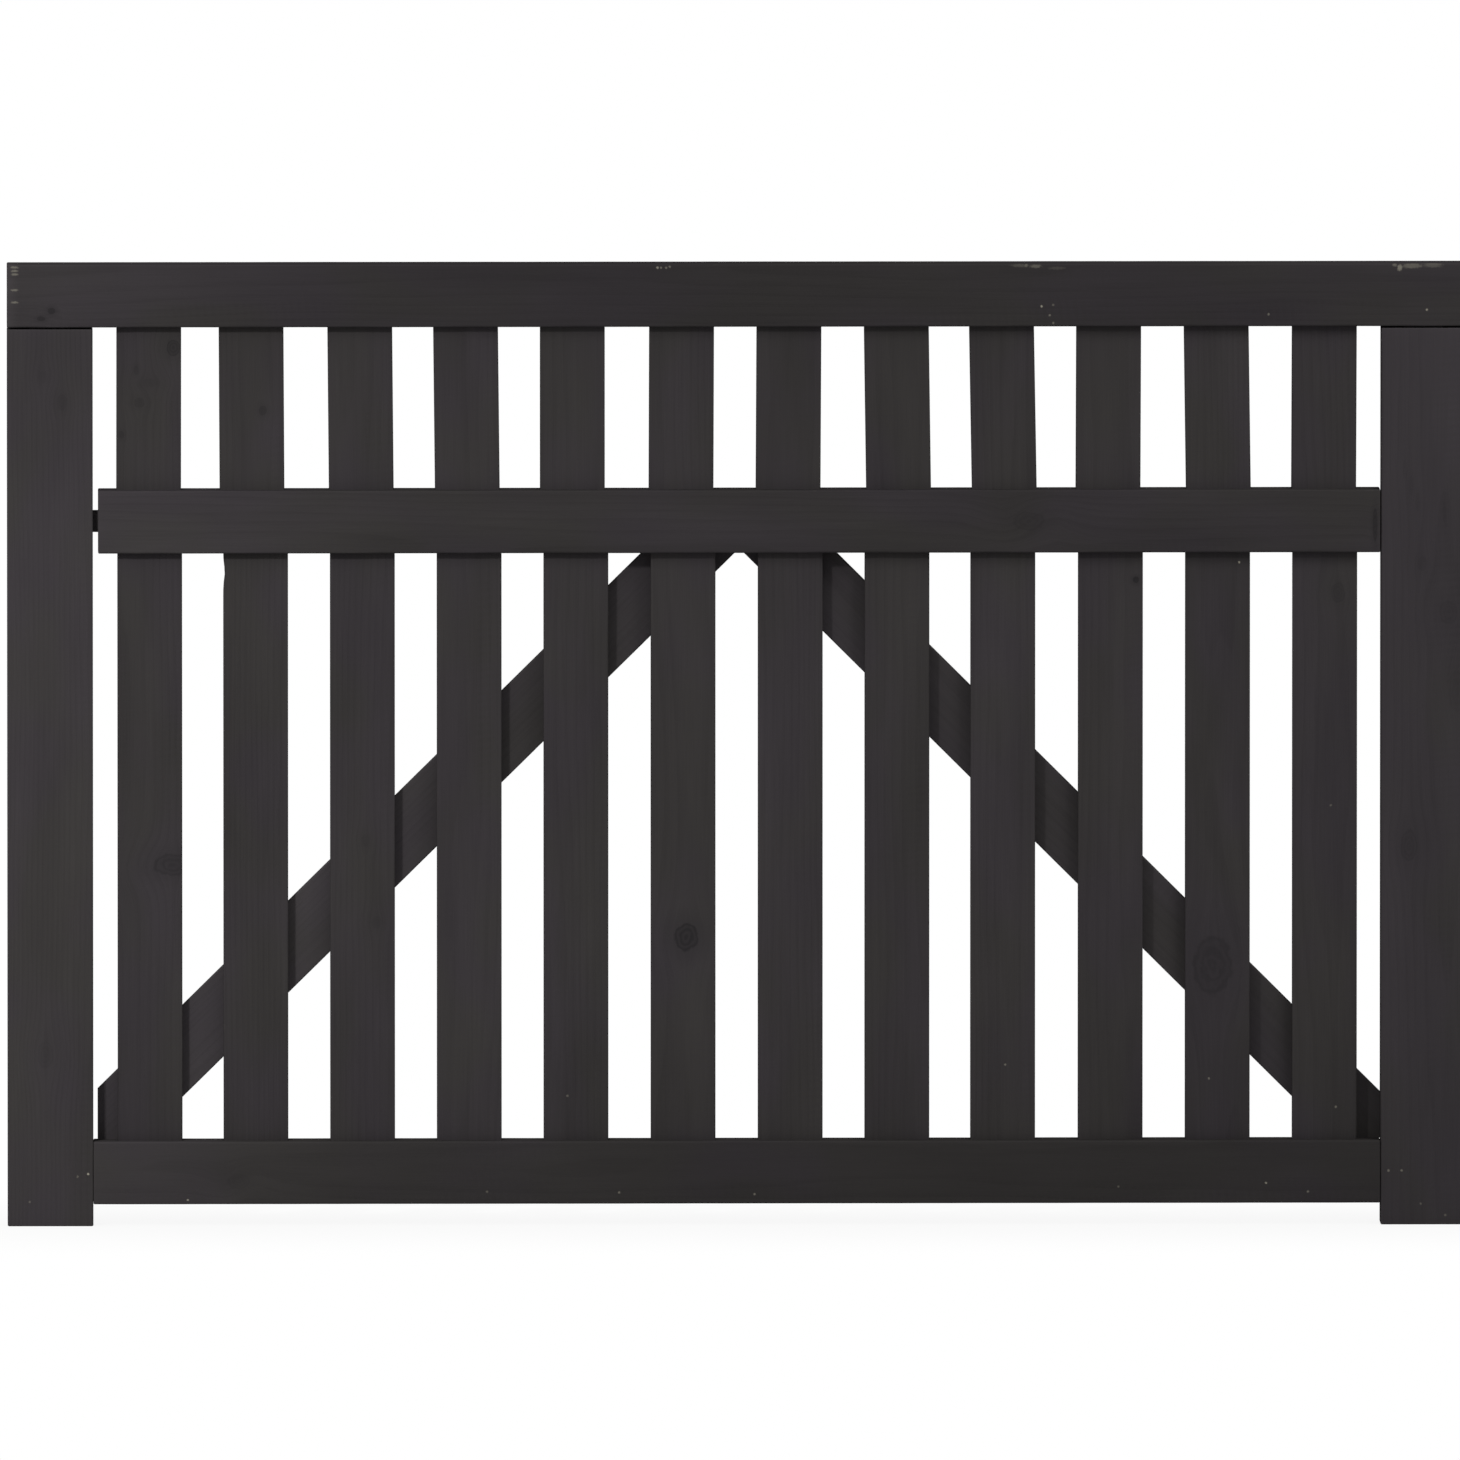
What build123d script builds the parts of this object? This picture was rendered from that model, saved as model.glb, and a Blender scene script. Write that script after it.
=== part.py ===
"""A framed garden fence panel of painted softwood.

Two posts carry a top rail that laps over their ends, a middle rail and a bottom rail.
Upright slats are housed in the rails in two rows, and two braces behind the lower row
rise from the bottom corners and meet under the middle rail.
X runs along the panel, the front faces -Y, and the origin is on the left post's foot.
"""
import os
from math import atan2, degrees, radians, sin, tan

from build123d import *

# Frame timber, in millimetres
panel_height = 1102.0
opening_width = 1472.0
frame_depth = 45.0
post_width = 98.0
rail_height = 72.0
ground_gap = 25.0
upper_field_height = 187.0
frame_arris = 2.5
end_arris = 1.5

# Tenons of the rails in the posts, and of the posts in the top rail
rail_tenon_height = 24.0
tenon_thickness = 18.0
rail_mortise_depth = 32.0
rail_tenon_clearance = 2.0
cap_tenon_width = 45.0
cap_mortise_depth = 30.0
joint_clearance = 0.25

# Shoulder gaps, where the joints have not closed up
cap_joint_gap = 2.0
mid_rail_left_gap = 6.0
mid_rail_right_gap = 1.0
bottom_rail_gap = 1.0

# Slats, and how far each one was set off its even place or out of plumb
slat_count = 12
slat_width = 74.0
slat_thickness = 18.0
slat_arris = 2.0
end_slat_gap = 28.0
housing_depth = 12.0
housing_end_clearance = 1.0
upper_drift = (-1.0, -5.5, -3.0, -4.0, -5.0, -2.5, -2.0, 0.5, -1.0, -2.5, 0.0, 0.0)
upper_lean_degrees = (-0.1, 0.3, 0.5, 0.6, 0.0, -0.2, -0.3, 0.8, 1.0, -0.2, 0.8, -0.2)
lower_drift = (0.0, -1.0, -1.0, -1.0, -1.0, -0.5, 0.0, 0.0, -1.0, 0.0, 0.5, 1.0)

# Braces
brace_width = 75.0
brace_thickness = 13.0
brace_arris = 2.0
brace_foot = 53.0
brace_apex_gap = 6.0
brace_apex_shift = 3.0
left_brace_gap = 6.0
right_brace_gap = 1.0

# Levels and places that follow from the sizes above
top_rail_level = panel_height - rail_height
mid_rail_level = top_rail_level - upper_field_height - rail_height
mid_rail_top = mid_rail_level + rail_height
bottom_rail_top = ground_gap + rail_height
left_face = post_width / 2
right_face = left_face + opening_width
right_post_x = right_face + post_width / 2
slat_pitch = (opening_width - 2 * end_slat_gap - slat_width) / (slat_count - 1)
slat_reach = housing_depth - housing_end_clearance
soft_end = min(end_arris, 0.8 * frame_arris)


def cut_box(width, depth, height, x, y, z):
    """A box centred on x and y that stands on z."""
    return Pos(x, y, z) * Box(width, depth, height, align=(Align.CENTER, Align.CENTER, Align.MIN))


def ease_ends(timber, axis):
    """Round the outline of both ends of a timber that lies along the axis."""
    ends = timber.faces().sort_by(axis)
    return fillet(ends[0].edges() + ends[-1].edges(), soft_end)


def post(x, inward):
    """A post that stands at x, with its rail mortises in the face that looks inward (+1 or -1)."""
    shoulder = top_rail_level - cap_joint_gap
    timber = extrude(RectangleRounded(post_width, frame_depth, frame_arris), shoulder)
    timber = ease_ends(timber, Axis.Z)
    timber += cut_box(cap_tenon_width, tenon_thickness, cap_joint_gap + cap_mortise_depth, 0, 0, shoulder)
    mortise_x = inward * (post_width - rail_mortise_depth) / 2
    mortise_height = rail_tenon_height + 2 * joint_clearance
    for rail_level in (ground_gap, mid_rail_level):
        mortise_z = rail_level + (rail_height - mortise_height) / 2
        timber -= cut_box(rail_mortise_depth, tenon_thickness + 2 * joint_clearance, mortise_height,
                          mortise_x, 0, mortise_z)
    return Pos(x, 0, 0) * timber


def rail_timber(start, end, level):
    """A plain rail with eased arrises from start to end, with its underside at the level."""
    profile = Plane.YZ * RectangleRounded(frame_depth, rail_height, frame_arris)
    timber = ease_ends(extrude(profile, end - start), Axis.X)
    return Pos(start, 0, level + rail_height / 2) * timber


def tenoned_rail(left_gap, right_gap, level):
    """A rail between the posts, with a stub tenon from one mortise through to the other."""
    timber = rail_timber(left_face + left_gap, right_face - right_gap, level)
    tenon_length = opening_width + 2 * (rail_mortise_depth - rail_tenon_clearance)
    tenon = cut_box(tenon_length, tenon_thickness, rail_tenon_height, left_face + opening_width / 2, 0,
                    level + (rail_height - rail_tenon_height) / 2)
    return timber + tenon


def housings(places, mouth, depth):
    """Pockets for the slat ends at these places, from the rail's face at mouth (depth < 0 is down)."""
    width = slat_width + 2 * joint_clearance
    thickness = slat_thickness + 2 * joint_clearance
    return [cut_box(width, thickness, abs(depth), x, 0, min(mouth, mouth + depth)) for x in places]


def slat(low, high, foot_x, head_x):
    """A slat whose ends stand in the housings below low and above high."""
    length = high - low + 2 * slat_reach
    board = extrude(RectangleRounded(slat_width, slat_thickness, slat_arris), length / 2, both=True)
    lean = Rot(0, degrees(atan2(head_x - foot_x, high - low)), 0)
    return Pos((foot_x + head_x) / 2, 0, (low + high) / 2) * lean * board


def brace(inner_face, inward, end_gap):
    """A brace from the corner at one post's inner face up to the apex under the middle rail."""
    apex_x = left_face + opening_width / 2 + brace_apex_shift
    run = inward * (apex_x - inner_face) - brace_foot - brace_apex_gap / 2
    rise = mid_rail_level - bottom_rail_top
    slope = atan2(rise, run)
    level_width = brace_width / sin(slope)
    heel_rise = (end_gap + level_width - brace_foot) * tan(slope)
    outline = [
        (brace_foot, 0),
        (brace_foot + run, rise),
        (brace_foot + run - level_width, rise),
        (end_gap, heel_rise),
        (end_gap, 0),
    ]
    corners = [(inner_face + inward * u, bottom_rail_top + v) for u, v in outline]
    face = make_face(Polyline(*corners, close=True))
    board = extrude(Plane.XZ * face, brace_thickness, dir=(0, 1, 0))
    long_edges = board.edges().filter_by(lambda edge: edge.length > rise)
    return Pos(0, slat_thickness / 2, 0) * fillet(long_edges, brace_arris)


even_places = [left_face + end_slat_gap + slat_width / 2 + i * slat_pitch for i in range(slat_count)]
upper_middle = [x + upper_drift[i % len(upper_drift)] for i, x in enumerate(even_places)]
upper_swing = [
    tan(radians(upper_lean_degrees[i % len(upper_lean_degrees)])) * upper_field_height / 2
    for i in range(slat_count)
]
upper_heads = [x - swing for x, swing in zip(upper_middle, upper_swing)]
upper_feet = [x + swing for x, swing in zip(upper_middle, upper_swing)]
lower_places = [x + lower_drift[i % len(lower_drift)] for i, x in enumerate(even_places)]

pieces = {}
pieces["left_post"] = post(0, 1)
pieces["right_post"] = post(right_post_x, -1)

top_rail = rail_timber(-post_width / 2, right_post_x + post_width / 2, top_rail_level)
for post_x in (0, right_post_x):
    top_rail -= cut_box(cap_tenon_width + 2 * joint_clearance, tenon_thickness + 2 * joint_clearance,
                        cap_mortise_depth, post_x, 0, top_rail_level)
pieces["top_rail"] = top_rail - housings(upper_heads, top_rail_level, housing_depth)

mid_rail = tenoned_rail(mid_rail_left_gap, mid_rail_right_gap, mid_rail_level)
mid_rail -= housings(upper_feet, mid_rail_top, -housing_depth)
pieces["mid_rail"] = mid_rail - housings(lower_places, mid_rail_level, housing_depth)

bottom_rail = tenoned_rail(bottom_rail_gap, bottom_rail_gap, ground_gap)
pieces["bottom_rail"] = bottom_rail - housings(lower_places, bottom_rail_top, -housing_depth)

for i in range(slat_count):
    pieces[f"upper_slat_{i + 1:02d}"] = slat(mid_rail_top, top_rail_level, upper_feet[i], upper_heads[i])
    pieces[f"lower_slat_{i + 1:02d}"] = slat(bottom_rail_top, mid_rail_level, lower_places[i], lower_places[i])

pieces["left_brace"] = brace(left_face, 1, left_brace_gap)
pieces["right_brace"] = brace(right_face, -1, right_brace_gap)

os.makedirs("parts", exist_ok=True)
for name, shape in pieces.items():
    export_step(shape, f"parts/{name}.step")
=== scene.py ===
"""Looks of the garden fence panel: charcoal painted softwood boards in a posts-and-rails frame."""
import math
import random

import bpy
from mathutils import Matrix, Vector


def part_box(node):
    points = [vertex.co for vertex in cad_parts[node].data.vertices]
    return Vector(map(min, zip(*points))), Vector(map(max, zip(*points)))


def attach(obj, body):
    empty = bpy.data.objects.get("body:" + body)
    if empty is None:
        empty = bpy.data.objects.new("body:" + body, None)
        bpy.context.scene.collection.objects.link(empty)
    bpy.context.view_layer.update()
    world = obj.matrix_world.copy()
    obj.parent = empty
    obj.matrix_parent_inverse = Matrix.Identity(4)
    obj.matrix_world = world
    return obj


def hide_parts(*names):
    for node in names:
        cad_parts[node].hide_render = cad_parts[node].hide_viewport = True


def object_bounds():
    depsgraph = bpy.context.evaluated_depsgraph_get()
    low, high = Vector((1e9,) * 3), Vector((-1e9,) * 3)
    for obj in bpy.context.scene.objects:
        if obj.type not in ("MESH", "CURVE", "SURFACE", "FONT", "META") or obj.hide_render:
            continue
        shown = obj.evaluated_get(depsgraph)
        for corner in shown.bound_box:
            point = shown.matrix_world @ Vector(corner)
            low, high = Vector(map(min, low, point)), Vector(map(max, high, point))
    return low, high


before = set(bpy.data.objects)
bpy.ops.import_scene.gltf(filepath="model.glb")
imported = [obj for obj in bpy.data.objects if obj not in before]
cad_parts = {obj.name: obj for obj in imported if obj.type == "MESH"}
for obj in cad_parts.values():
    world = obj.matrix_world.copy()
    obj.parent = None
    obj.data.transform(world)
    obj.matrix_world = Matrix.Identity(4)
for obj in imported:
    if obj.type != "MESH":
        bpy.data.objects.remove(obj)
cad_low, cad_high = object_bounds()

# Viewpoint
# The panel stands square and whole, seen from far off, a little from the left and a little from above.
# The lens is long, so its uprights stay parallel.
photo_width = 1460
metres_per_pixel = 0.0011427
view_left_degrees = 0.9
view_up_degrees = 4.5
view_distance = 60.0
aim = Vector((0.77684, cad_low.y, 0.56830))

camera_data = bpy.data.cameras.new("viewpoint")
camera_data.sensor_width = 36.0
camera_data.lens = camera_data.sensor_width * view_distance / (photo_width * metres_per_pixel)
camera_data.clip_end = 4 * view_distance
camera = bpy.data.objects.new("viewpoint", camera_data)
bpy.context.scene.collection.objects.link(camera)
left, up = math.radians(view_left_degrees), math.radians(view_up_degrees)
towards_camera = Vector((-math.sin(left) * math.cos(up), -math.cos(left) * math.cos(up), math.sin(up)))
camera.location = aim + view_distance * towards_camera
camera.rotation_euler = (-towards_camera).to_track_quat("-Z", "Y").to_euler()
bpy.context.scene.camera = camera
bpy.context.scene.view_settings.view_transform = "Standard"

# Posts
# Two uprights of planed softwood, 98 by 45 mm, cut square at the foot and tenoned into the top rail.
# Each is mortised on its inner side for the middle and bottom rails, then painted charcoal all over.
post_nodes = ("left_post", "right_post")
post_arris = 0.0025
post_end_ease = 0.0015
cap_tenon_size = (0.045, 0.018)
rail_tenon_size = (0.024, 0.018)
joint_clearance = 0.00025
tenon_root = 0.002
ring_spacing = 0.009
arris_segments = 5
arris_wave_lengths = (0.41, 0.17, 0.063)
arris_variation = 0.3
least_arris_share = 0.3
smooth_below_degrees = 32
post_seed = 11


def waver(draw, lengths):
    """A gentle unevenness along a board, from -1 to 1, as the sum of a few waves of these lengths."""
    waves = [(2 * math.pi / length, draw.uniform(0, 2 * math.pi)) for length in lengths]
    return lambda at: sum(math.sin(rate * at + phase) for rate, phase in waves) / len(waves)


def rounded_ring(half_width, half_depth, radii):
    """One closed outline round a board: four eased arrises joined by flats."""
    corners = ((1, 1), (-1, 1), (-1, -1), (1, -1))
    points = []
    for turn, ((side, face), radius) in enumerate(zip(corners, radii)):
        centre = Vector((side * (half_width - radius), face * (half_depth - radius)))
        for step in range(arris_segments + 1):
            angle = math.pi / 2 * (turn + step / arris_segments)
            points.append(centre + radius * Vector((math.cos(angle), math.sin(angle))))
    return points


def planed_board(name, size, place, arris, end_ease, draw, dents=()):
    """A board of this width, depth and length whose arrises are eased by hand, so that they vary.

    The place turns the board's own axes (across, through, along) into the panel's.
    A dent is (side, middle, half length, depth): a stretch of one narrow side, +1 or -1, that is bruised.
    """
    width, depth, length = size
    ease_profile = (0.0, 0.08, 0.3, 0.65, 1.0)
    stations = [-length / 2 + end_ease * t for t in ease_profile]
    inner = length - 2 * end_ease
    count = max(2, round(inner / ring_spacing))
    stations += [-length / 2 + end_ease + inner * i / count for i in range(1, count)]
    stations += [length / 2 - end_ease * t for t in reversed(ease_profile)]
    wavers = [waver(draw, arris_wave_lengths) for corner in range(4)]
    vertices = []
    for at in stations:
        from_end = min(length / 2 - abs(at), end_ease)
        inset = end_ease - math.sqrt(max(0.0, end_ease ** 2 - (end_ease - from_end) ** 2))
        radii = []
        for corner in range(4):
            radius = arris * (1 + arris_variation * wavers[corner](at))
            radii.append(max(radius - inset, least_arris_share * arris))
        for point in rounded_ring(width / 2 - inset, depth / 2 - inset, radii):
            across = point.x
            for side, middle, reach, deep in dents:
                if side * point.x > 0:
                    across -= side * deep * math.exp(-((at - middle) / reach) ** 2)
            vertices.append(place @ Vector((across, point.y, at)))
    around = 4 * (arris_segments + 1)
    faces = [tuple(reversed(range(around)))]
    for ring in range(len(stations) - 1):
        for i in range(around):
            following = (i + 1) % around
            low, high = ring * around, (ring + 1) * around
            faces.append((low + i, low + following, high + following, high + i))
    faces.append(tuple(range(len(vertices) - around, len(vertices))))
    mesh = bpy.data.meshes.new(name)
    mesh.from_pydata(vertices, [], faces)
    board = bpy.data.objects.new(name, mesh)
    bpy.context.scene.collection.objects.link(board)
    return board


def join_boxes(board, boxes, operation):
    """Cut these boxes out of a board, or add them to it. A box is (size, place)."""
    vertices, faces = [], []
    corners = [(x, y, z) for x in (-0.5, 0.5) for y in (-0.5, 0.5) for z in (-0.5, 0.5)]
    sides = ((0, 1, 3, 2), (4, 6, 7, 5), (0, 4, 5, 1), (2, 3, 7, 6), (0, 2, 6, 4), (1, 5, 7, 3))
    for size, place in boxes:
        first = len(vertices)
        vertices += [place @ Vector([c * s for c, s in zip(corner, size)]) for corner in corners]
        faces += [tuple(first + i for i in side) for side in sides]
    mesh = bpy.data.meshes.new("joinery")
    mesh.from_pydata(vertices, [], faces)
    tool = bpy.data.objects.new("joinery", mesh)
    bpy.context.scene.collection.objects.link(tool)
    modifier = board.modifiers.new("joinery", "BOOLEAN")
    modifier.operation = operation
    modifier.object = tool
    modifier.solver = "EXACT"
    evaluated = board.evaluated_get(bpy.context.evaluated_depsgraph_get())
    worked = bpy.data.meshes.new_from_object(evaluated)
    board.modifiers.clear()
    board.data = worked
    worked.name = board.name
    bpy.data.objects.remove(tool)


def finish_board(board, place, seed, tone, material, node):
    """Store the board's own axes on its mesh for the grain, smooth its arrises and set it in the frame.

    The tone is how light this board took the paint, 1 being usual.
    """
    mesh = board.data
    inward = place.inverted()
    own_axes = [part for vertex in mesh.vertices for part in inward @ vertex.co]
    mesh.attributes.new("board", "FLOAT_VECTOR", "POINT")
    mesh.attributes["board"].data.foreach_set("vector", own_axes)
    for label, value in (("seed", seed), ("tone", tone)):
        mesh.attributes.new(label, "FLOAT", "POINT")
        mesh.attributes[label].data.foreach_set("value", [value] * len(mesh.vertices))
    mesh.polygons.foreach_set("use_smooth", [True] * len(mesh.polygons))
    mesh.set_sharp_from_angle(angle=math.radians(smooth_below_degrees))
    mesh.materials.clear()
    mesh.materials.append(material)
    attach(board, "root")
    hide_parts(node)


def new_group(name, inputs, outputs):
    """An empty shader group with these named sockets, given as {label: kind}."""
    group = bpy.data.node_groups.new(name, "ShaderNodeTree")
    for label, kind in inputs.items():
        group.interface.new_socket(label, in_out="INPUT", socket_type="NodeSocket" + kind)
    for label, kind in outputs.items():
        group.interface.new_socket(label, in_out="OUTPUT", socket_type="NodeSocket" + kind)
    entry = group.nodes.new("NodeGroupInput").outputs
    leave = group.nodes.new("NodeGroupOutput").inputs
    return group, entry, leave


def feed(tree, socket, value):
    """Link a socket to another, or set it to a plain value."""
    if isinstance(value, bpy.types.NodeSocket):
        tree.links.new(value, socket)
    else:
        socket.default_value = value


def calc(tree, operation, *values, clamp=False):
    """The output of one Math node."""
    node = tree.nodes.new("ShaderNodeMath")
    node.operation = operation
    node.use_clamp = clamp
    for socket, value in zip(node.inputs, values):
        feed(tree, socket, value)
    return node.outputs[0]


def vector_calc(tree, operation, *values):
    """The main output of one Vector Math node: a value for LENGTH, otherwise a vector."""
    node = tree.nodes.new("ShaderNodeVectorMath")
    node.operation = operation
    for socket, value in zip(node.inputs, values):
        feed(tree, socket, value)
    return node.outputs["Value" if operation == "LENGTH" else "Vector"]


def scaled(tree, vector, by):
    """A vector with each part multiplied by its own factor."""
    return vector_calc(tree, "MULTIPLY", vector, by)


def apart(tree, vector):
    """The x, y and z outputs of a vector."""
    node = tree.nodes.new("ShaderNodeSeparateXYZ")
    feed(tree, node.inputs[0], vector)
    return node.outputs


def noise(tree, vector, scale, detail=2.0, roughness=0.5):
    """The plain value of a noise texture."""
    node = tree.nodes.new("ShaderNodeTexNoise")
    feed(tree, node.inputs["Vector"], vector)
    for label, value in (("Scale", scale), ("Detail", detail), ("Roughness", roughness)):
        feed(tree, node.inputs[label], value)
    return node.outputs[0]


def between(tree, value, low, high, to_low=0.0, to_high=1.0):
    """A smooth, clamped step of a value from low to high."""
    node = tree.nodes.new("ShaderNodeMapRange")
    node.interpolation_type = "SMOOTHSTEP"
    feed(tree, node.inputs["Value"], value)
    labels = ("From Min", "From Max", "To Min", "To Max")
    for label, number in zip(labels, (low, high, to_low, to_high)):
        feed(tree, node.inputs[label], number)
    return node.outputs[0]


def mixed(tree, amount, first, second):
    """Two colours mixed by an amount."""
    node = tree.nodes.new("ShaderNodeMix")
    node.data_type = "RGBA"
    feed(tree, node.inputs[0], amount)
    feed(tree, node.inputs[6], first)
    feed(tree, node.inputs[7], second)
    return node.outputs[2]


def placed(tree, group, **values):
    """A group placed in a tree with these inputs; an underscore stands for a space in a label."""
    node = tree.nodes.new("ShaderNodeGroup")
    node.node_tree = group
    for label, value in values.items():
        feed(tree, node.inputs[label.replace("_", " ")], value)
    return node.outputs


# Growth rings run along the board round a pith that lies off to one side, so faces show long grain
# and ends show arcs. Fibre is the fine streak of planed softwood, Figure the slow change in
# its tone, and Cloud the slow change in its hue.
growth, entry, leave = new_group(
    "growth",
    {"Board": "Vector", "Seed": "Float", "Ring Width": "Float"},
    {"Rings": "Float", "Fibre": "Float", "Figure": "Float", "Cloud": "Float"},
)
drawn = growth.nodes.new("ShaderNodeTexWhiteNoise")
drawn.noise_dimensions = "1D"
feed(growth, drawn.inputs["W"], entry["Seed"])
shift = vector_calc(growth, "SUBTRACT", drawn.outputs["Color"], (0.5, 0.5, 0.5))
moved = vector_calc(growth, "ADD", entry["Board"], scaled(growth, shift, (40.0, 40.0, 40.0)))
wander = calc(growth, "SUBTRACT", noise(growth, scaled(growth, moved, (9.0, 9.0, 1.1)), 1.0, 3.0), 0.5)
pith = vector_calc(growth, "ADD", scaled(growth, shift, (0.16, 0.07, 0.0)), (0.0, 0.075, 0.0))
off_pith = scaled(growth, vector_calc(growth, "ADD", entry["Board"], pith), (1.0, 1.0, 0.0))
radius = calc(growth, "MULTIPLY_ADD", wander, 0.03, vector_calc(growth, "LENGTH", off_pith))
phase = calc(growth, "FRACT", calc(growth, "DIVIDE", radius, entry["Ring Width"]))
late = between(growth, phase, 0.45, 0.93)
feed(growth, leave["Rings"], calc(growth, "MULTIPLY", late, between(growth, phase, 1.0, 0.95)))
feed(growth, leave["Fibre"], noise(growth, scaled(growth, moved, (900.0, 900.0, 14.0)), 1.0, 3.0, 0.6))
feed(growth, leave["Figure"], noise(growth, scaled(growth, moved, (17.0, 17.0, 3.6)), 1.0, 2.0, 0.55))
feed(growth, leave["Cloud"], noise(growth, scaled(growth, moved, (13.0, 13.0, 7.0)), 1.0, 1.0))

# A knot is the root of a branch, dark and hard under the paint.
# It pushes the grain aside as it goes through.
knot, entry, leave = new_group(
    "knot",
    {"Board": "Vector", "Place": "Vector", "Centre": "Vector", "Size": "Vector", "Depth": "Float",
     "Knots": "Float"},
    {"Board": "Vector", "Knots": "Float"},
)
off = vector_calc(knot, "SUBTRACT", entry["Place"], entry["Centre"])
ragged = noise(knot, entry["Place"], 95.0, 3.0)
shares = vector_calc(knot, "DIVIDE", scaled(knot, off, (1.0, 0.0, 1.0)), entry["Size"])
reach = vector_calc(knot, "LENGTH", shares)
reach = calc(knot, "MULTIPLY_ADD", calc(knot, "SUBTRACT", ragged, 0.5), 0.55, reach)
core = between(knot, reach, 1.05, 0.78)
halo = between(knot, reach, 2.4, 0.8, 0.0, 0.28)
rings = calc(knot, "MULTIPLY_ADD", calc(knot, "SINE", calc(knot, "MULTIPLY", reach, 17.0)), 0.2, 0.8)
shade = calc(knot, "MAXIMUM", calc(knot, "MULTIPLY", core, rings), halo)
shade = calc(knot, "MULTIPLY", shade, entry["Depth"])
feed(knot, leave["Knots"], calc(knot, "MAXIMUM", entry["Knots"], shade))
swell = calc(knot, "EXPONENT", calc(knot, "MULTIPLY", calc(knot, "MULTIPLY", reach, reach), -0.22))
push = vector_calc(knot, "MULTIPLY", scaled(knot, off, (-0.8, 0.0, 0.0)), swell)
feed(knot, leave["Board"], vector_calc(knot, "ADD", entry["Board"], push))

# Arrises wear first: this finds the eased edges from the board's half size, where two faces come together.
worn_arris, entry, leave = new_group(
    "worn arris",
    {"Board": "Vector", "Half": "Vector", "Reach": "Float", "Seed": "Float"},
    {"Arris": "Float", "Wear": "Float"},
)
off_middle = vector_calc(worn_arris, "ABSOLUTE", entry["Board"])
inside = vector_calc(worn_arris, "SUBTRACT", entry["Half"], off_middle)
across, through, along = apart(worn_arris, inside)
nearest = calc(worn_arris, "MINIMUM", across, through)
further = calc(worn_arris, "MAXIMUM", across, through)
second = calc(worn_arris, "MAXIMUM", nearest, calc(worn_arris, "MINIMUM", further, along))
arris = between(worn_arris, second, entry["Reach"], 0.0)
seeded = worn_arris.nodes.new("ShaderNodeCombineXYZ")
feed(worn_arris, seeded.inputs[0], entry["Seed"])
patch = noise(worn_arris, vector_calc(worn_arris, "ADD", entry["Board"], seeded.outputs[0]), 34.0, 6.0, 0.7)
feed(worn_arris, leave["Arris"], arris)
feed(worn_arris, leave["Wear"], calc(worn_arris, "MULTIPLY", arris, between(worn_arris, patch, 0.6, 0.72)))

# A nick is a spot where the paint has been knocked or rubbed off a face, so that bare grey wood shows.
nick, entry, leave = new_group(
    "nick",
    {"Place": "Vector", "Centre": "Vector", "Size": "Vector", "Amount": "Float", "Ragged": "Float",
     "Nicks": "Float"},
    {"Nicks": "Float"},
)
off = vector_calc(nick, "SUBTRACT", entry["Place"], entry["Centre"])
reach = vector_calc(nick, "LENGTH", vector_calc(nick, "DIVIDE", off, entry["Size"]))
reach = calc(nick, "ADD", reach, entry["Ragged"])
spot = calc(nick, "MULTIPLY", between(nick, reach, 1.25, 0.45), entry["Amount"])
feed(nick, leave["Nicks"], calc(nick, "MAXIMUM", entry["Nicks"], spot))

charcoal_warm = (0.0362, 0.0337, 0.0330, 1.0)
charcoal_cool = (0.0372, 0.0332, 0.0364, 1.0)
charcoal_thin = (0.075, 0.070, 0.069, 1.0)
charcoal_knot = (0.0165, 0.0155, 0.0165, 1.0)
bare_wood = (0.25, 0.235, 0.19, 1.0)
nick_size = (0.0015, 0.004, 0.0015)
ring_width = 0.0052
worn_reach = 0.0022
figure_strength = 0.45
fibre_strength = 0.28
ring_strength = -0.06
worn_share = 0.08
thin_share = 0.1


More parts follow.
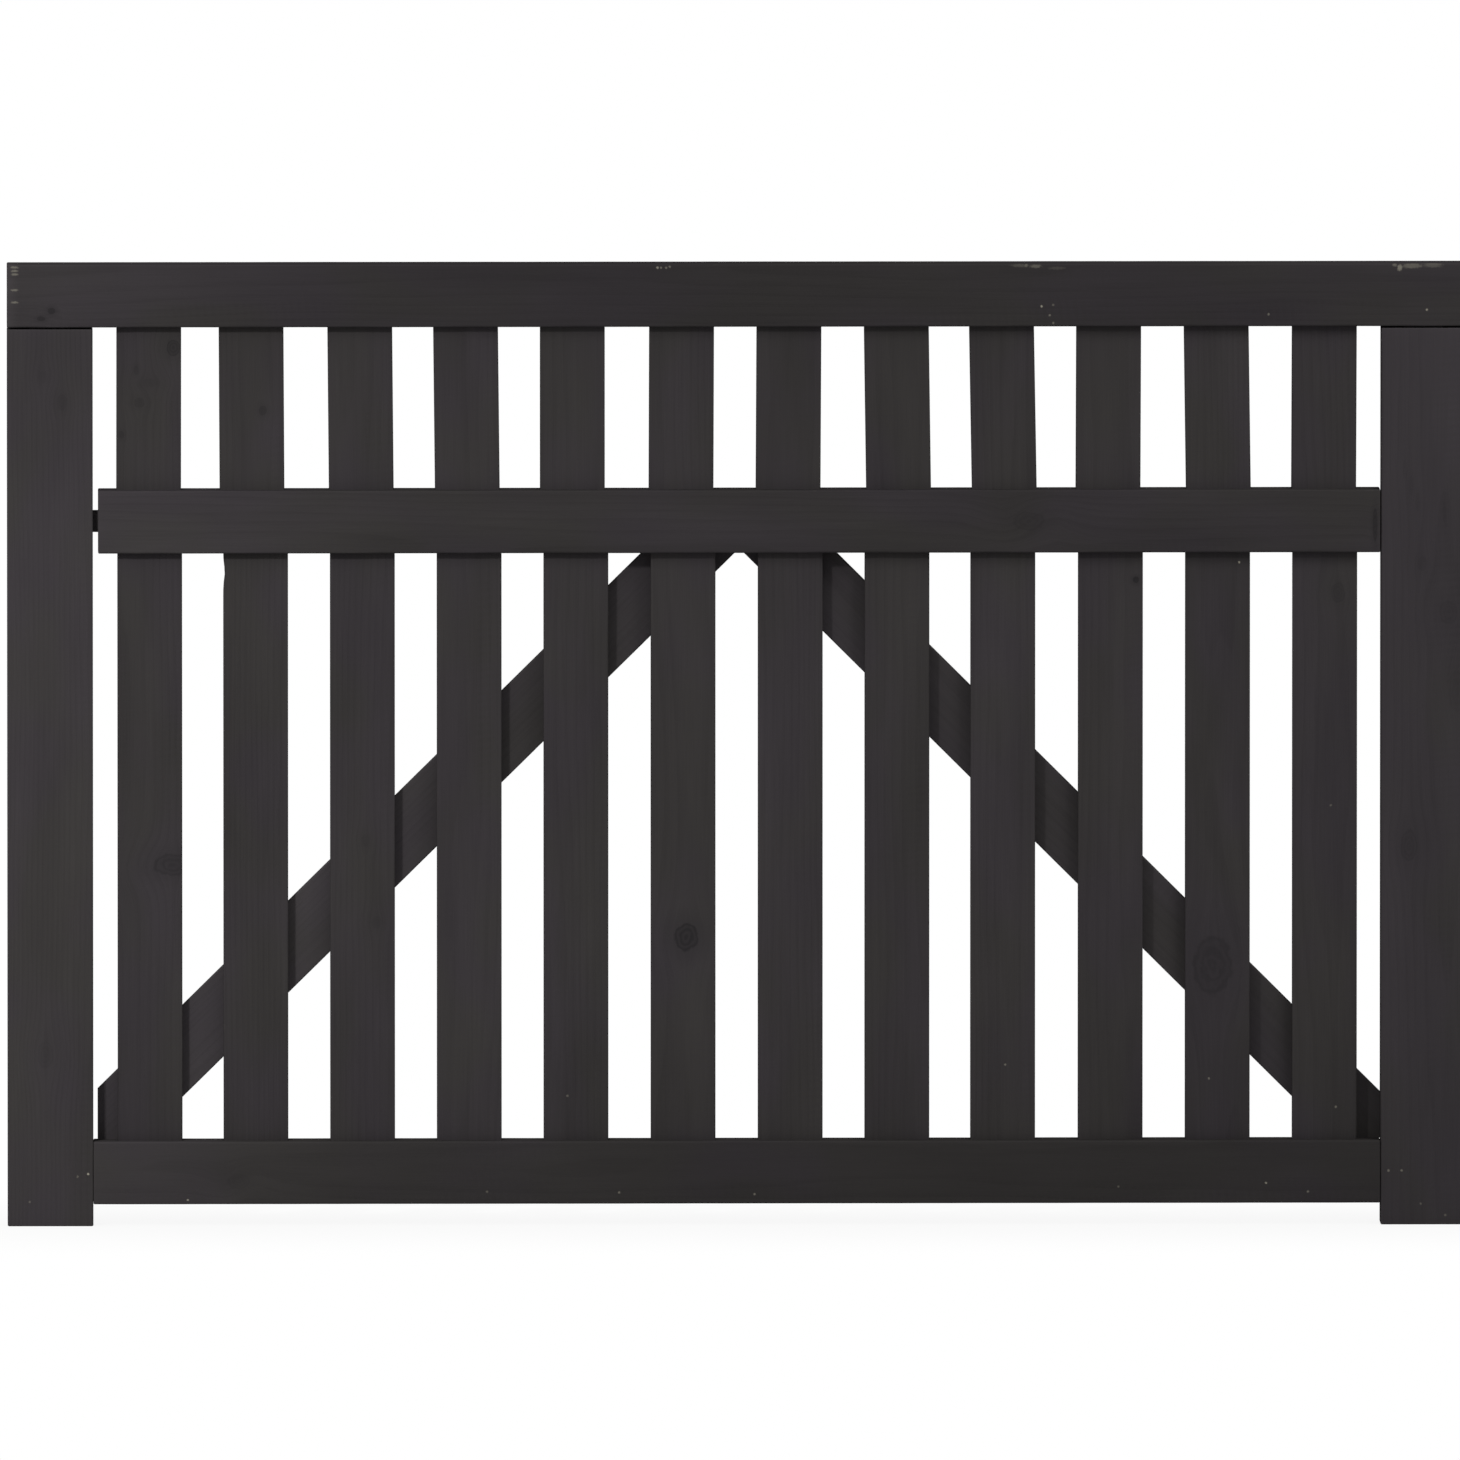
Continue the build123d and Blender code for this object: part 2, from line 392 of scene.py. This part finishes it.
def painted_timber(name, half, knots=(), nicks=(), painted_light_and_wear=(), coolness=0.0):
    """Charcoal paint on softwood for boards of this half size.

    A knot is (centre, size, depth) and a nick is (centre, size, amount), in the panel's metres.
    A painted-light ramp is (axis, start, end, gain): painted light or shade that makes the paint lighter or
    darker at the start, and plain from the end on.
    Coolness above 0 makes the charcoal bluer, and below 0 browner.
    """
    material = bpy.data.materials.new(name)
    material.use_nodes = True
    tree = material.node_tree
    shader = tree.nodes["Principled BSDF"]
    stored = {}
    for label in ("board", "seed", "tone"):
        stored[label] = tree.nodes.new("ShaderNodeAttribute")
        stored[label].attribute_name = label
    board = stored["board"].outputs["Vector"]
    seed = stored["seed"].outputs["Fac"]
    place = tree.nodes.new("ShaderNodeTexCoord").outputs["Object"]
    grain, knotted, bare = board, 0.0, 0.0
    for centre, size, depth in knots:
        found = placed(tree, knot, Board=grain, Place=place, Centre=centre, Size=size, Depth=depth,
                       Knots=knotted)
        grain, knotted = found["Board"], found["Knots"]
    if nicks:
        uneven = calc(tree, "SUBTRACT", noise(tree, place, 520.0, 2.0), 0.5)
        uneven = calc(tree, "MULTIPLY", uneven, 1.1)
    for centre, size, amount in nicks:
        bare = placed(tree, nick, Place=place, Centre=centre, Size=size, Amount=amount, Ragged=uneven,
                      Nicks=bare)["Nicks"]
    grown = placed(tree, growth, Board=grain, Seed=seed, Ring_Width=ring_width)
    worn = placed(tree, worn_arris, Board=board, Half=half, Reach=worn_reach, Seed=seed)
    bare = calc(tree, "MAXIMUM", bare, calc(tree, "MULTIPLY", worn["Wear"], worn_share))
    tone = calc(tree, "MULTIPLY_ADD", calc(tree, "SUBTRACT", grown["Figure"], 0.5), figure_strength, 1.0)
    tone = calc(tree, "MULTIPLY_ADD", calc(tree, "SUBTRACT", grown["Fibre"], 0.5), fibre_strength, tone)
    tone = calc(tree, "MULTIPLY_ADD", grown["Rings"], ring_strength, tone)
    tone = calc(tree, "MULTIPLY", tone, stored["tone"].outputs["Fac"])
    # Painted light and shade: each ramp makes the paint lighter towards the lamp or darker where less light
    # falls; one at the top rail's end also stands for worn paint.
    for axis, start, end, gain in painted_light_and_wear:
        tone = calc(tree, "MULTIPLY", tone, between(tree, apart(tree, place)[axis], start, end, gain, 1.0))
    hue = between(tree, grown["Cloud"], 0.32 - coolness, 0.68 - coolness)
    paint = mixed(tree, hue, charcoal_warm, charcoal_cool)
    paint = mixed(tree, calc(tree, "MULTIPLY", worn["Arris"], thin_share), paint, charcoal_thin)
    paint = vector_calc(tree, "SCALE", paint)
    feed(tree, paint.node.inputs["Scale"], tone)
    paint = mixed(tree, knotted, paint, charcoal_knot)
    feed(tree, shader.inputs["Base Color"], mixed(tree, bare, paint, bare_wood))
    rough = calc(tree, "MULTIPLY_ADD", grown["Figure"], 0.2, 0.62)
    feed(tree, shader.inputs["Roughness"], calc(tree, "MULTIPLY_ADD", bare, 0.25, rough))
    shader.inputs["Specular IOR Level"].default_value = 0.0
    height = calc(tree, "MULTIPLY_ADD", grown["Rings"], 0.5, grown["Fibre"])
    height = calc(tree, "MULTIPLY_ADD", knotted, -0.6, height)
    height = calc(tree, "MULTIPLY_ADD", bare, -1.5, height)
    bump = tree.nodes.new("ShaderNodeBump")
    bump.inputs["Strength"].default_value = 0.4
    bump.inputs["Distance"].default_value = 0.0002
    feed(tree, bump.inputs["Height"], height)
    feed(tree, shader.inputs["Normal"], bump.outputs["Normal"])
    return material


post_low, post_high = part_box("left_post")
rail_low, rail_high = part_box("mid_rail")
bottom_low, bottom_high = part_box("bottom_rail")
top_low, top_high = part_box("top_rail")
post_width = post_high.x - post_low.x
frame_depth = post_high.y - post_low.y
cap_joint_gap = 0.002
post_shoulder = top_low.z - cap_joint_gap
mid_tenon = (Vector(rail_tenon_size), (rail_low + rail_high) / 2, rail_high.x - rail_low.x)
bottom_tenon = (Vector(rail_tenon_size), (bottom_low + bottom_high) / 2, bottom_high.x - bottom_low.x)


def tenon_box(tenon, clearance):
    """A rail's tenon, from end to end, as a box that a mortise takes with this clearance."""
    section, middle, length = tenon
    size = (length + 2 * clearance, section.y + 2 * clearance, section.x + 2 * clearance)
    return size, Matrix.Translation(middle)


post_knots = {
    "left_post": [
        ((0.014, 0, 0.944), (0.006, 1.0, 0.010), 0.25), ((-0.007, 0, 0.974), (0.006, 1.0, 0.008), 0.15),
        ((-0.006, 0, 0.196), (0.010, 1.0, 0.018), 0.2),
    ],
    "right_post": [
        ((1.553, 0, 0.435), (0.011, 1.0, 0.020), 0.3), ((1.609, 0, 0.611), (0.013, 1.0, 0.026), 0.15),
        ((1.568, 0, 0.758), (0.006, 1.0, 0.009), 0.2), ((1.593, 0, 0.817), (0.002, 1.0, 0.013), 0.25),
        ((1.598, 0, 0.702), (0.012, 1.0, 0.015), 0.22), ((1.548, 0, 0.866), (0.003, 1.0, 0.012), 0.15),
        ((1.555, 0, 0.848), (0.003, 1.0, 0.012), 0.18), ((1.563, 0, 0.828), (0.003, 1.0, 0.012), 0.18),
    ],
}
bright_nick = 1.0
clear_nick = 0.75
plain_nick = 0.4
faint_nick = 0.25
post_nicks = {
    "left_post": [(0.043, 0.060, bright_nick), (0.031, 0.057, faint_nick), (-0.024, 0.028, faint_nick)],
    "right_post": [(1.530, 0.062, plain_nick), (1.545, 0.062, plain_nick), (1.567, 0.024, faint_nick),
                   (1.595, 0.011, faint_nick)],
}
post_tones = {"left_post": 1.07, "right_post": 1.11}
post_coolness = {"left_post": 0.0, "right_post": 0.12}
# Painted shade: the right post is darker towards its foot, where less light reaches.
post_painted_shade = {"left_post": (), "right_post": [("Z", 0.0, 0.25, 0.88)]}
post_half = (post_width / 2, frame_depth / 2, post_shoulder / 2)


def spots(points, front, size=nick_size):
    """Nicks of one size on a front face. A point is (along the panel, up it, amount)."""
    return [((x, front, z), size, amount) for x, z, amount in points]


for index, node in enumerate(post_nodes):
    low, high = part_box(node)
    draw = random.Random(post_seed + index)
    middle_x = (low.x + high.x) / 2
    place = Matrix.Translation((middle_x, 0, post_shoulder / 2))
    post = planed_board(node + "_timber", (post_width, frame_depth, post_shoulder), place, post_arris,
                        post_end_ease, draw)
    tenon_height = high.z - post_shoulder
    tenon_place = Matrix.Translation((middle_x, 0, post_shoulder + tenon_height / 2 - tenon_root / 2))
    join_boxes(post, [((*cap_tenon_size, tenon_height + tenon_root), tenon_place)], "UNION")
    join_boxes(post, [tenon_box(t, joint_clearance) for t in (mid_tenon, bottom_tenon)], "DIFFERENCE")
    post_paint = painted_timber(node + "_paint", post_half, post_knots[node],
                                spots(post_nicks[node], post_low.y), post_painted_shade[node], post_coolness[node])
    finish_board(post, place, draw.uniform(0, 50), post_tones[node], post_paint, node)

# Rails
# The top rail laps over both posts, and the middle and bottom rails run between them on stub tenons.
# All three are planed softwood, 72 by 45 mm, housed for the slat ends before they were painted.
rail_arris = 0.0025
rail_end_ease = 0.0015
housing_clearance = 0.00025
housing_end_clearance = 0.001
mid_rail_gaps = (0.006, 0.001)
bottom_rail_gaps = (0.0001, 0.0005)
rail_seed = 31
slat_end_slice = 0.002
slat_count = sum(1 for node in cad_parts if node.startswith("upper_slat_"))
slat_section = (0.074, 0.018)
along_rail = Matrix(((0, 0, 1), (0, -1, 0), (1, 0, 0))).to_4x4()


def slat_place(node):
    """Where a slat stands in the CAD frame, with its lean, and its length."""
    corners = [v.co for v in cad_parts[node].data.vertices]
    low_z = min(c.z for c in corners)
    high_z = max(c.z for c in corners)
    foot = [c.x for c in corners if c.z < low_z + slat_end_slice]
    head = [c.x for c in corners if c.z > high_z - slat_end_slice]
    foot_x = (min(foot) + max(foot)) / 2
    head_x = (min(head) + max(head)) / 2
    lean = Matrix.Rotation(math.atan2(head_x - foot_x, high_z - low_z), 4, "Y")
    place = Matrix.Translation(((foot_x + head_x) / 2, 0, (low_z + high_z) / 2)) @ lean
    length = (high_z - low_z) - abs(math.sin(lean.to_euler().y)) * slat_section[0]
    return place, length


upper_slats = {f"upper_slat_{i + 1:02d}": slat_place(f"upper_slat_{i + 1:02d}") for i in range(slat_count)}
lower_slats = {f"lower_slat_{i + 1:02d}": slat_place(f"lower_slat_{i + 1:02d}") for i in range(slat_count)}


def housings(slats):
    """The slats' ends as boxes with a little clearance, to cut out of the rails."""
    boxes = []
    for place, length in slats.values():
        size = [side + 2 * housing_clearance for side in slat_section]
        boxes.append(((*size, length + 2 * housing_end_clearance), place))
    return boxes


rail_height = top_high.z - top_low.z
right_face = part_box("right_post")[0].x
rail_specs = {
    "top_rail": (top_low.x, top_high.x, 0.0, 0.0, upper_slats),
    "mid_rail": (post_high.x, right_face, *mid_rail_gaps, {**upper_slats, **lower_slats}),
    "bottom_rail": (post_high.x, right_face, *bottom_rail_gaps, lower_slats),
}
rail_tenons = {"mid_rail": mid_tenon, "bottom_rail": bottom_tenon}
rail_tones = {"top_rail": 0.86, "mid_rail": 0.94, "bottom_rail": 0.80}
rail_coolness = {"top_rail": 0.0, "mid_rail": 0.0, "bottom_rail": -0.15}
# Painted light on the rails: each is lighter towards the lamp at the left, and the top rail towards its
# right end too; the bottom rail's top arris is painted lighter as a highlight. The short ramp at the top
# rail's left end is partly a painted highlight on that end arris and partly worn, dry paint.
rail_painted_light_and_wear = {
    "top_rail": [("X", -0.05, 0.5, 1.24), ("X", -0.0475, -0.034, 1.2), ("X", 1.6, 1.2, 1.12)],
    "mid_rail": [("X", 0.05, 0.45, 1.18)],
    "bottom_rail": [("X", 0.05, 0.5, 1.3), ("Z", bottom_high.z, bottom_high.z - 0.0055, 1.06)],
}
rail_knots_and_joint_shade = {
    "top_rail": [
        ((0.002, 0, 1.049), (0.0045, 1.0, 0.004), 0.75),
        ((-0.010, 0, 1.040), (0.005, 1.0, 0.003), 0.7),
    ],
    "mid_rail": [
        ((1.118, 0, 0.807), (0.02, 1.0, 0.012), 0.3),
        # Painted shade: the narrow dark mark at the middle rail's right end is partly a real smudge on the
        # rail and partly shade painted in beside its joint with the right post.
        ((1.514, 0, 0.803), (0.003, 1.0, 0.02), 0.7),
    ],
    "bottom_rail": [((0.215, 0, 0.051), (0.014, 1.0, 0.01), 0.2)],
}
rail_nicks = {
    "top_rail": [
        (0.694, 1.098, clear_nick), (0.698, 1.098, plain_nick), (0.704, 1.098, plain_nick),
        (0.708, 1.099, plain_nick), (1.133, 1.053, bright_nick), (1.142, 1.043, plain_nick),
        (1.146, 1.034, plain_nick), (1.146, 1.055, faint_nick), (1.392, 1.044, plain_nick),
        (1.573, 1.049, clear_nick),
    ],
    "mid_rail": [],
    "bottom_rail": [
        (0.157, 0.030, clear_nick), (0.499, 0.039, faint_nick), (0.650, 0.038, plain_nick),
        (0.805, 0.036, plain_nick), (1.221, 0.044, faint_nick), (1.390, 0.048, clear_nick),
        (1.438, 0.038, plain_nick),
    ],
}
torn_fibres = [(-0.040, height, plain_nick) for height in (1.099, 1.095, 1.091, 1.073, 1.059)]
torn_size = (0.0046, 0.004, 0.0014)
top_scuffs = [
    (1.107, 1.100, 0.010, 0.002, 0.16), (1.115, 1.100, 0.003, 0.002, 0.3), (1.126, 1.099, 0.007, 0.002, 0.3),
    (1.150, 1.097, 0.010, 0.002, 0.1), (1.536, 1.100, 0.003, 0.002, 0.3), (1.542, 1.097, 0.003, 0.004, 0.55),
    (1.556, 1.099, 0.013, 0.003, 0.3), (1.579, 1.100, 0.012, 0.003, 0.2),
]
for index, (node, (start, end, left_gap, right_gap, slats)) in enumerate(rail_specs.items()):
    low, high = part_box(node)
    draw = random.Random(rail_seed + index)
    start, end = start + left_gap, end - right_gap
    middle = Vector(((start + end) / 2, 0, (low.z + high.z) / 2))
    place = Matrix.Translation(middle) @ along_rail
    rail = planed_board(node + "_timber", (rail_height, frame_depth, end - start), place, rail_arris,
                        rail_end_ease, draw)
    if node in rail_tenons:
        join_boxes(rail, [tenon_box(rail_tenons[node], 0.0)], "UNION")
    else:
        cap_size = [side + 2 * joint_clearance for side in cap_tenon_size]
        caps = []
        for post_node in post_nodes:
            post_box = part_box(post_node)
            cap_high = post_box[1].z - low.z
            cap_place = Matrix.Translation(((post_box[0].x + post_box[1].x) / 2, 0, low.z))
            caps.append(((*cap_size, 2 * cap_high), cap_place))
        join_boxes(rail, caps, "DIFFERENCE")
    join_boxes(rail, housings(slats), "DIFFERENCE")
    rail_half = (rail_height / 2, frame_depth / 2, (end - start) / 2)
    nicks = spots(rail_nicks[node], low.y)
    if node == "top_rail":
        nicks += spots(torn_fibres, low.y, torn_size)
        for x, z, half_along, half_up, amount in top_scuffs:
            nicks.append(((x, low.y, z), (half_along, nick_size[1], half_up), amount))
    rail_paint = painted_timber(node + "_paint", rail_half, rail_knots_and_joint_shade[node], nicks, rail_painted_light_and_wear[node],
                                rail_coolness[node])
    finish_board(rail, place, draw.uniform(0, 50), rail_tones[node], rail_paint, node)

# Slats
# Thin boards, 74 by 18 mm, dropped into the rails' housings in two rows as the frame went together.
# They were set by eye, so the short ones stand a little uneven.
slat_arris = 0.002
slat_end_ease = 0.0005
slat_knots = {
    "upper_slat_01": [
        ((0.141, 0, 1.006), (0.009, 1.0, 0.010), 0.6),
        ((0.099, 0, 0.980), (0.003, 1.0, 0.006), 0.35),
        ((0.114, 0, 0.966), (0.010, 1.0, 0.005), 0.2),
        ((0.102, 0, 0.943), (0.007, 1.0, 0.006), 0.35),
        ((0.082, 0, 0.906), (0.003, 1.0, 0.005), 0.45),
    ],
    "upper_slat_02": [((0.243, 0, 0.934), (0.005, 1.0, 0.006), 0.5)],
    "lower_slat_01": [((0.140, 0, 0.413), (0.024, 1.0, 0.014), 0.5)],
    "lower_slat_03": [
        ((0.360, 0, 0.441), (0.005, 1.0, 0.008), 0.2),
        ((0.373, 0, 0.347), (0.006, 1.0, 0.008), 0.2),
    ],
    "lower_slat_06": [((0.727, 0, 0.330), (0.015, 1.0, 0.018), 0.75)],
    "lower_slat_10": [((1.241, 0, 0.739), (0.004, 1.0, 0.004), 0.9)],
    "lower_slat_11": [((1.329, 0, 0.297), (0.025, 1.0, 0.038), 0.45)],
    "lower_slat_12": [((1.472, 0, 0.724), (0.009, 1.0, 0.013), 0.3)],
}
slat_nicks = {
    "lower_slat_05": [(0.591, 0.148, faint_nick)],
    "lower_slat_09": [(1.092, 0.183, plain_nick)],
    "lower_slat_11": [(1.325, 0.167, plain_nick), (1.359, 0.759, bright_nick)],
    "lower_slat_12": [(1.470, 0.134, plain_nick), (1.464, 0.480, faint_nick)],
}
slat_dents = {"lower_slat_02": [(-1, 0.314, 0.011, 0.0018)]}
slat_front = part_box("lower_slat_01")[0].y
# Painted shade: every slat is darker towards the bottom of the panel, where less light reaches.
slat_painted_shade = [("Z", 0.1, 0.3, 0.91)]
slat_tone_range = (0.98, 1.06)
for row, slats in (("upper", upper_slats), ("lower", lower_slats)):
    longest = max(length for place, length in slats.values())
    # The ends are hidden in the housings, so the third half size is kept long and no wear shows there.
    slat_half = (slat_section[0] / 2, slat_section[1] / 2, longest)
    clear_paint = painted_timber(row + "_slat_paint", slat_half, painted_light_and_wear=slat_painted_shade)
    for index, (node, (place, length)) in enumerate(slats.items()):
        draw = random.Random(row + str(index))
        slat = planed_board(node + "_board", (*slat_section, length), place, slat_arris, slat_end_ease, draw,
                            slat_dents.get(node, ()))
        paint = clear_paint
        if node in slat_knots or node in slat_nicks:
            paint = painted_timber(node + "_paint", slat_half, slat_knots.get(node, ()),
                                   spots(slat_nicks.get(node, ()), slat_front), slat_painted_shade)
        finish_board(slat, place, draw.uniform(0, 50), draw.uniform(*slat_tone_range), paint, node)

# Braces
# Two boards, 75 by 13 mm, flat on the backs of the lower slats, from the bottom corners to the middle rail.
# Each is cut level at the head, and level and upright at the foot, to fit the corner of the frame.
brace_section = (0.075, 0.013)
brace_arris = 0.002
brace_end_ease = 0.0005
brace_tone = 1.05
brace_seed = 201
brace_foot = 0.053
brace_apex_gap = 0.006
brace_apex_shift = 0.003
brace_post_gaps = {"left_brace": 0.005, "right_brace": 0.0001}
field_low = bottom_high.z
field_high = rail_low.z
apex_x = (post_high.x + right_face) / 2 + brace_apex_shift
brace_half = (brace_section[0] / 2, brace_section[1] / 2, 1.0)
# Painted light: the left brace is lighter towards the lamp at the left.
brace_painted_light = {"left_brace": [("X", 0.25, 0.6, 1.2)], "right_brace": ()}
for index, (node, post_gap) in enumerate(brace_post_gaps.items()):
    inward = 1 if node == "left_brace" else -1
    inner_face = post_high.x if inward > 0 else right_face
    foot = Vector((inner_face + inward * brace_foot, 0, field_low))
    head = Vector((apex_x - inward * brace_apex_gap / 2, 0, field_high))
    along = (head - foot).normalized()
    upper_side = Vector((-inward * along.z, 0, inward * along.x))
    brace_low, brace_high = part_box(node)
    middle = (foot + head) / 2 + upper_side * brace_section[0] / 2
    middle.y = (brace_low.y + brace_high.y) / 2
    through = along.cross(upper_side)
    turn = Matrix((upper_side, through, along)).transposed().to_4x4()
    place = Matrix.Translation(middle) @ turn
    draw = random.Random(brace_seed + index)
    overlong = (head - foot).length + 4 * brace_section[0]
    brace = planed_board(node + "_board", (*brace_section, overlong), place, brace_arris, brace_end_ease,
                         draw)
    block = 4 * brace_section[0]
    wide = 3 * (head - foot).length
    heel_x = inner_face + inward * (post_gap - block / 2)
    cuts = [
        ((wide, 1.0, block), Matrix.Translation((apex_x, 0, field_high + block / 2))),
        ((wide, 1.0, block), Matrix.Translation((apex_x, 0, field_low - block / 2))),
        ((block, 1.0, wide), Matrix.Translation((heel_x, 0, field_low))),
    ]
    for cut in cuts:
        join_boxes(brace, [cut], "DIFFERENCE")
    brace_paint = painted_timber(node + "_paint", brace_half, painted_light_and_wear=brace_painted_light[node])
    finish_board(brace, place, draw.uniform(0, 50), brace_tone, brace_paint, node)

# Floor and light
# A plain pale floor under an even white sky; close to the panel it is painted a little greyer, as shade
# round the feet.
# A soft lamp stands at the upper left, and a weaker one at the right.
floor_half = 60.0
floor_grey = 0.72
shade_reach = 0.45
shade_level = 0.9
sky_strength = 0.64


def background_ray(tree):
    """One for rays that show the plain white background: those of the camera, gloss and glass."""
    path = tree.nodes.new("ShaderNodeLightPath").outputs
    shown = calc(tree, "ADD", path["Is Camera Ray"], path["Is Glossy Ray"])
    return calc(tree, "ADD", shown, path["Is Transmission Ray"], clamp=True)


floor_mesh = bpy.data.meshes.new("floor")
floor_corners = [(-floor_half, -floor_half, 0), (floor_half, -floor_half, 0),
                 (floor_half, floor_half, 0), (-floor_half, floor_half, 0)]
floor_mesh.from_pydata(floor_corners, [], [(0, 1, 2, 3)])
floor = bpy.data.objects.new("floor", floor_mesh)
bpy.context.scene.collection.objects.link(floor)
floor_paper = bpy.data.materials.new("floor_paper")
floor_paper.use_nodes = True
tree = floor_paper.node_tree
tree.nodes.clear()
output = tree.nodes.new("ShaderNodeOutputMaterial")
matt = tree.nodes.new("ShaderNodeBsdfDiffuse")
matt.inputs["Color"].default_value = (floor_grey, floor_grey, floor_grey, 1.0)
glow = tree.nodes.new("ShaderNodeEmission")
glow.inputs["Color"].default_value = (1.0, 1.0, 1.0, 1.0)
floor_place = tree.nodes.new("ShaderNodeTexCoord").outputs["Object"]
from_panel = calc(tree, "ABSOLUTE", apart(tree, floor_place)["Y"])
# Painted shade: within this reach of the panel the floor shows less white glow and more of its lit grey, so
# it reads greyer there even where no shadow falls.
bright = between(tree, from_panel, 0.0, shade_reach, shade_level, 1.0)
blend = tree.nodes.new("ShaderNodeMixShader")
feed(tree, blend.inputs[0], calc(tree, "MULTIPLY", background_ray(tree), bright))
tree.links.new(matt.outputs[0], blend.inputs[1])
tree.links.new(glow.outputs[0], blend.inputs[2])
tree.links.new(blend.outputs[0], output.inputs[0])
floor_mesh.materials.append(floor_paper)

sky = bpy.data.worlds.new("studio")
bpy.context.scene.world = sky
sky.use_nodes = True
tree = sky.node_tree
backdrop = tree.nodes["Background"]
backdrop.inputs["Color"].default_value = (1.0, 1.0, 1.0, 1.0)
feed(tree, backdrop.inputs["Strength"], between(tree, background_ray(tree), 0.0, 1.0, sky_strength, 1.0))


def soft_lamp(name, place, target, size, watts, spread_degrees):
    """A square softbox that faces its target."""
    lamp = bpy.data.lights.new(name, "AREA")
    lamp.size = size
    lamp.energy = watts
    lamp.spread = math.radians(spread_degrees)
    holder = bpy.data.objects.new(name, lamp)
    bpy.context.scene.collection.objects.link(holder)
    holder.location = place
    holder.rotation_euler = (Vector(target) - Vector(place)).to_track_quat("-Z", "Y").to_euler()


soft_lamp("key_lamp", (-1.8, -4.0, 3.2), (-0.05, 0.0, 0.45), 0.42, 8.9, 42.0)
soft_lamp("side_lamp", (2.5, -1.4, 2.4), (1.55, 0.0, 0.9), 1.0, 4.9, 76.0)
